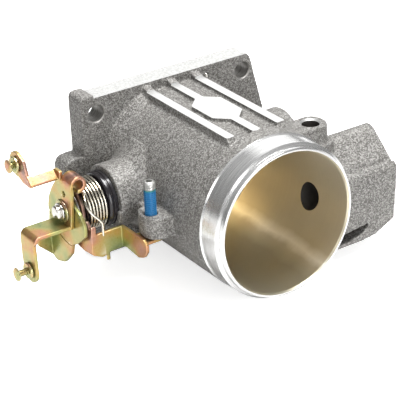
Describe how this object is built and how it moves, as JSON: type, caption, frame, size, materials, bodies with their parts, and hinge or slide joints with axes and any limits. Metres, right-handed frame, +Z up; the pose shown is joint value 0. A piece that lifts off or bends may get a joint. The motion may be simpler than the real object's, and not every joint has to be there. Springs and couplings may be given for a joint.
{
  "type": "throttle body",
  "caption": "Cast aluminium throttle body with a round inlet, manifold flange, butterfly valve on a cross shaft, return spring and bent cable levers.",
  "frame": {"origin": "on the bore's axis at the manifold flange's rear face", "axes": "+X along the throttle shaft towards the sensor side, +Y along the bore towards the manifold, +Z up towards the ribs"},
  "size_m": [0.1885, 0.11, 0.0888],
  "materials": {
    "cast_aluminium": "fine cast grain, machined ribs, strip, collar and bore",
    "bright_steel": "bright",
    "yellow_zinc": "iridescent yellow zinc plating on steel sheet",
    "brass": "machined",
    "black_plastic": "moulded",
    "seal_rubber": "moulded",
    "screw_steel": "zinc plated, with blue thread-lock"
  },
  "bodies": {
    "housing": {"throttle_housing": "cast_aluminium", "passage_ball_plug": "bright_steel", "left_shaft_bearing": "bright_steel", "left_shaft_seal": "seal_rubber", "right_shaft_bearing": "bright_steel", "right_shaft_seal": "seal_rubber", "spring_seat_cup": "black_plastic", "return_spring": "bright_steel", "idle_stop_screw": "screw_steel"},
    "throttle": {"throttle_shaft": "bright_steel", "throttle_plate": "brass", "plate_screw_1": "bright_steel", "plate_screw_2": "bright_steel", "stop_lever": "yellow_zinc", "cable_cam": "yellow_zinc", "throttle_lever": "yellow_zinc", "lower_cable_stud": "yellow_zinc", "upper_cable_stud": "yellow_zinc", "inner_lever_spacer": "bright_steel", "lever_washer": "yellow_zinc", "shaft_thrust_washer": "bright_steel", "shaft_retaining_clip": "bright_steel"}
  },
  "joints": [
    {"name": "throttle_turn", "type": "hinge", "parent": "housing", "child": "throttle", "pos_m": [0, -0.0315, 0], "axis": [1, 0, 0], "range_deg": [0, 82], "stiffness_Nm_per_rad": 0.12, "springref_deg": -51.57, "deforming": ["return_spring"]}
  ]
}
